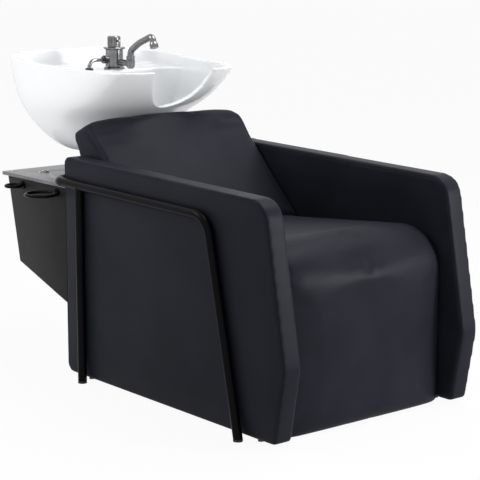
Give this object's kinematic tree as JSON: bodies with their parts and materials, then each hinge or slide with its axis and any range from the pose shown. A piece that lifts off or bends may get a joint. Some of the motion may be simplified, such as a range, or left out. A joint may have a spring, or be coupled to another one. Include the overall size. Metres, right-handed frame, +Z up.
{
  "type": "salon backwash unit",
  "caption": "Salon backwash unit: upholstered wash chair between padded arms and bent steel tubes, with a plumbing cabinet, tilting ceramic bowl, mixer tap and handset.",
  "frame": {"origin": "on the floor at the middle of the fixing plate under the bowl", "axes": "+Z up, the sitter faces -Y, and +X is the sitter's left"},
  "size_m": [0.7665, 1.4406, 0.9468],
  "materials": {
    "black_leather": "satin black leatherette with a fine grain",
    "plywood": "bare plywood",
    "gloss_black_tube": "gloss black powder coat",
    "black_rubber": "matt black rubber",
    "charcoal_board": "charcoal laminated board",
    "grey_plate": "satin grey coated steel",
    "chrome": "polished chrome plate",
    "zinc_steel": "zinc plated steel",
    "black_steel": "satin black paint on welded steel",
    "white_ceramic": "white glaze",
    "grey_plastic": "moulded grey plastic",
    "brass": "turned brass"
  },
  "bodies": {
    "chair": {"access_panel": "charcoal_board", "access_screws": "zinc_steel", "arm_cores": "plywood", "arm_pad_left": "black_leather", "arm_pad_right": "black_leather", "back_board": "plywood", "back_cleats": "plywood", "back_cushion": "black_leather", "cabinet_battens": "plywood", "cabinet_floor": "charcoal_board", "cabinet_front": "charcoal_board", "cabinet_side_left": "charcoal_board", "cabinet_side_right": "charcoal_board", "dryer_ring": "gloss_black_tube", "floor_glides": "black_rubber", "floor_plate": "black_steel", "friction_washers": "grey_plastic", "hinge_bracket": "zinc_steel", "hinge_pin": "zinc_steel", "hose_port": "chrome", "plate_screws": "zinc_steel", "rail_saddles": "black_rubber", "rear_cross_tube": "gloss_black_tube", "rear_posts": "gloss_black_tube", "seat_board": "plywood", "seat_cushion": "black_leather", "seat_front_board": "plywood", "seat_rear_rail": "plywood", "seat_side_rails": "plywood", "side_tube_left": "gloss_black_tube", "side_tube_right": "gloss_black_tube", "stand_column": "black_steel", "stand_gussets": "black_steel", "stand_head": "black_steel", "tilt_bumpers": "black_rubber", "tongs_ring": "gloss_black_tube", "top_plate": "grey_plate", "tube_end_caps": "black_rubber"},
    "bowl": {"tilt_cradle": "zinc_steel", "cradle_pad": "black_rubber", "bowl": "white_ceramic", "waste_strainer": "chrome", "waste_gasket": "black_rubber", "waste_nut": "grey_plastic", "waste_tail": "grey_plastic", "mixer_body": "chrome", "mixer_cartridge": "grey_plastic", "mixer_collar": "chrome", "mixer_nut": "brass", "inlet_tails": "brass", "elbow_nut": "chrome", "outlet_elbow": "chrome", "elbow_gland": "black_rubber"},
    "knob": {"mixer_knob": "chrome", "knob_lever": "chrome", "knob_spindle": "brass"},
    "holder": {"handset_socket": "chrome"},
    "handset": {"handset_grip": "chrome", "spray_head": "chrome", "spray_face": "grey_plastic"}
  },
  "joints": [
    {"name": "bowl_tilt", "type": "hinge", "parent": "chair", "child": "bowl", "pos_m": [0, 0.0452, 0.572], "axis": [-1, 0, 0], "range_deg": [0, 15]},
    {"name": "knob_turn", "type": "hinge", "parent": "bowl", "child": "knob", "pos_m": [0.047, 0.2002, 0.915], "axis": [0, 0, 1], "range_deg": [-60, 60]},
    {"name": "holder_swivel", "type": "hinge", "parent": "bowl", "child": "holder", "pos_m": [0.047, 0.1142, 0.853], "axis": [0, 0, 1], "range_deg": [-60, 60]},
    {"name": "handset_lift", "type": "slide", "parent": "holder", "child": "handset", "axis": [0, 0, 1], "range_m": [0, 0.06]}
  ]
}
